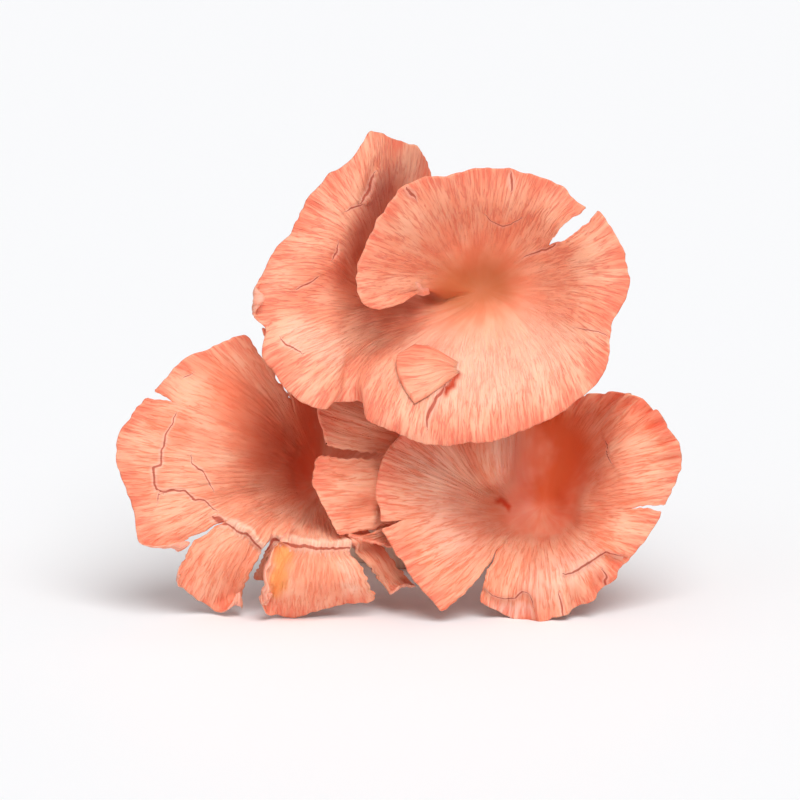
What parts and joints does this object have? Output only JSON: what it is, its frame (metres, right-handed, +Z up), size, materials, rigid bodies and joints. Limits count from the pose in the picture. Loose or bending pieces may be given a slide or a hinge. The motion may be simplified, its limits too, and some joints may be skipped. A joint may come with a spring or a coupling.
{
  "type": "oyster mushroom cluster",
  "caption": "Cluster of pink oyster mushrooms with thin wavy funnel caps, torn rims, gills running down the stems and one shared foot, lying as picked",
  "frame": {"origin": "middle of the bounding box, on the surface that the cluster lies on", "axes": "+X to the right as the caps are seen from the front, +Y from the caps back to the foot, +Z up"},
  "size_m": [0.1313, 0.1029, 0.1126],
  "materials": {
    "cap_flesh": "soft matt mushroom flesh, salmon pink with fine radial streaks",
    "foot_flesh": "soft matt mushroom flesh, pale cream pink, slightly fibrous"
  },
  "bodies": {
    "root": {"mushroom_top": "cap_flesh", "mushroom_left": "cap_flesh", "mushroom_right": "cap_flesh", "stem_base": "foot_flesh"}
  },
  "joints": []
}
